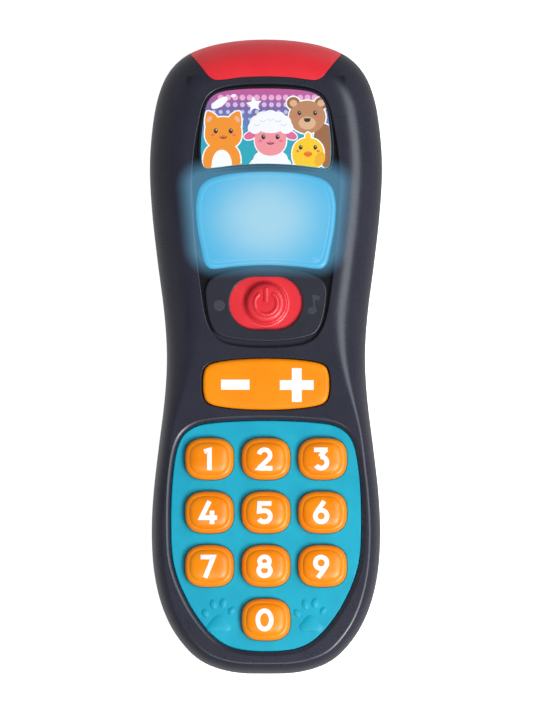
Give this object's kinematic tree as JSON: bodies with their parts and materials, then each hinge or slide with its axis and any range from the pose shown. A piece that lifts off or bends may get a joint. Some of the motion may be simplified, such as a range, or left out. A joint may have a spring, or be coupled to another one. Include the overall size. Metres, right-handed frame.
{
  "type": "toy remote control",
  "caption": "Toy remote or toy cell phone with number keys, a volume rocker, a sliding knob, a glowing panel, a picture window and a battery hatch at the back.",
  "frame": {"origin": "centre of the bounding box's bottom, where the back rests", "axes": "+X to the handset's right seen from its face, +Y along it towards the red signal cap, +Z out of the face"},
  "size_m": [0.0624, 0.17, 0.0276],
  "materials": {
    "front_plastic": "satin charcoal with a soft sheen",
    "rear_plastic": "fine matt texture",
    "red_plastic": "smooth translucent red",
    "picture_print": "glossy printed label",
    "light_plastic": "smooth, lit from behind",
    "plate_plastic": "smooth",
    "teal_plastic": "fine grain",
    "key_plastic": "smooth",
    "orange_plastic": "smooth",
    "knob_plastic": "smooth",
    "white_plastic": "plain moulded",
    "switch_metal": "plated",
    "mat_silicone": "matt",
    "board_laminate": "solder mask",
    "chip_resin": "moulded resin",
    "capacitor_sleeve": "shrunk sleeve",
    "led_lens": "clear domed",
    "speaker_metal": "plated",
    "speaker_paper": "pressed",
    "magnet_ferrite": "ground",
    "cell_wrap": "printed wrap over a steel can",
    "spring_steel": "nickel plated",
    "screw_steel": "zinc plated",
    "wire_red": "insulated"
  },
  "bodies": {
    "case": {"front_housing": "front_plastic", "rear_housing": "rear_plastic", "signal_cap": "red_plastic", "picture_label": "picture_print", "light_panel": "light_plastic", "switch_plate": "plate_plastic", "keypad_panel": "teal_plastic", "slide_switch": "switch_metal", "keypad_mat": "mat_silicone", "rocker_pad": "mat_silicone", "main_board": "board_laminate", "sound_chip": "chip_resin", "capacitor": "capacitor_sleeve", "board_resistors": "chip_resin", "panel_leds": "led_lens", "light_baffle": "white_plastic", "speaker_frame": "speaker_metal", "speaker_cone": "speaker_paper", "speaker_magnet": "magnet_ferrite", "speaker_ring": "white_plastic", "battery_left": "cell_wrap", "battery_right": "cell_wrap", "battery_springs": "spring_steel", "battery_contacts": "spring_steel", "housing_screws": "screw_steel", "board_screws": "screw_steel", "battery_wires": "wire_red", "speaker_wires": "wire_red"},
    "slider": {"power_slider": "knob_plastic", "switch_lever": "white_plastic"},
    "rocker": {"volume_rocker": "orange_plastic"},
    "door": {"battery_door": "rear_plastic"},
    "door_screw": {"door_screw": "screw_steel"},
    "key_0": {"key_0": "key_plastic"},
    "key_1": {"key_1": "key_plastic"},
    "key_2": {"key_2": "key_plastic"},
    "key_3": {"key_3": "key_plastic"},
    "key_4": {"key_4": "key_plastic"},
    "key_5": {"key_5": "key_plastic"},
    "key_6": {"key_6": "key_plastic"},
    "key_7": {"key_7": "key_plastic"},
    "key_8": {"key_8": "key_plastic"},
    "key_9": {"key_9": "key_plastic"}
  },
  "joints": [
    {"name": "key_0_press", "type": "slide", "parent": "case", "child": "key_0", "axis": [0, 0, -1], "range_m": [0, 0.0012], "stiffness_N_per_m": 600, "springref_m": -0.0005, "deforming": ["keypad_mat"]},
    {"name": "key_1_press", "type": "slide", "parent": "case", "child": "key_1", "axis": [0, 0, -1], "range_m": [0, 0.0012], "stiffness_N_per_m": 600, "springref_m": -0.0005, "deforming": ["keypad_mat"]},
    {"name": "key_2_press", "type": "slide", "parent": "case", "child": "key_2", "axis": [0, 0, -1], "range_m": [0, 0.0012], "stiffness_N_per_m": 600, "springref_m": -0.0005, "deforming": ["keypad_mat"]},
    {"name": "key_3_press", "type": "slide", "parent": "case", "child": "key_3", "axis": [0, 0, -1], "range_m": [0, 0.0012], "stiffness_N_per_m": 600, "springref_m": -0.0005, "deforming": ["keypad_mat"]},
    {"name": "key_4_press", "type": "slide", "parent": "case", "child": "key_4", "axis": [0, 0, -1], "range_m": [0, 0.0012], "stiffness_N_per_m": 600, "springref_m": -0.0005, "deforming": ["keypad_mat"]},
    {"name": "key_5_press", "type": "slide", "parent": "case", "child": "key_5", "axis": [0, 0, -1], "range_m": [0, 0.0012], "stiffness_N_per_m": 600, "springref_m": -0.0005, "deforming": ["keypad_mat"]},
    {"name": "key_6_press", "type": "slide", "parent": "case", "child": "key_6", "axis": [0, 0, -1], "range_m": [0, 0.0012], "stiffness_N_per_m": 600, "springref_m": -0.0005, "deforming": ["keypad_mat"]},
    {"name": "key_7_press", "type": "slide", "parent": "case", "child": "key_7", "axis": [0, 0, -1], "range_m": [0, 0.0012], "stiffness_N_per_m": 600, "springref_m": -0.0005, "deforming": ["keypad_mat"]},
    {"name": "key_8_press", "type": "slide", "parent": "case", "child": "key_8", "axis": [0, 0, -1], "range_m": [0, 0.0012], "stiffness_N_per_m": 600, "springref_m": -0.0005, "deforming": ["keypad_mat"]},
    {"name": "key_9_press", "type": "slide", "parent": "case", "child": "key_9", "axis": [0, 0, -1], "range_m": [0, 0.0012], "stiffness_N_per_m": 600, "springref_m": -0.0005, "deforming": ["keypad_mat"]},
    {"name": "volume_rock", "type": "hinge", "parent": "case", "child": "rocker", "pos_m": [0, -0.00735, 0.0214], "axis": [0, 1, 0], "range_deg": [-4, 4], "stiffness_Nm_per_rad": 0.06, "deforming": ["rocker_pad"]},
    {"name": "mode_slide", "type": "slide", "parent": "case", "child": "slider", "axis": [1, 0, 0], "range_m": [-0.0025, 0.0025]},
    {"name": "battery_door_open", "type": "hinge", "parent": "case", "child": "door", "pos_m": [0, -0.0442, 0.001], "axis": [-1, 0, 0], "range_deg": [0, 70]},
    {"name": "door_screw_turn", "type": "hinge", "parent": "door", "child": "door_screw", "pos_m": [0, 0.01, 0.0003], "axis": [0, 0, 1], "continuous": true}
  ]
}
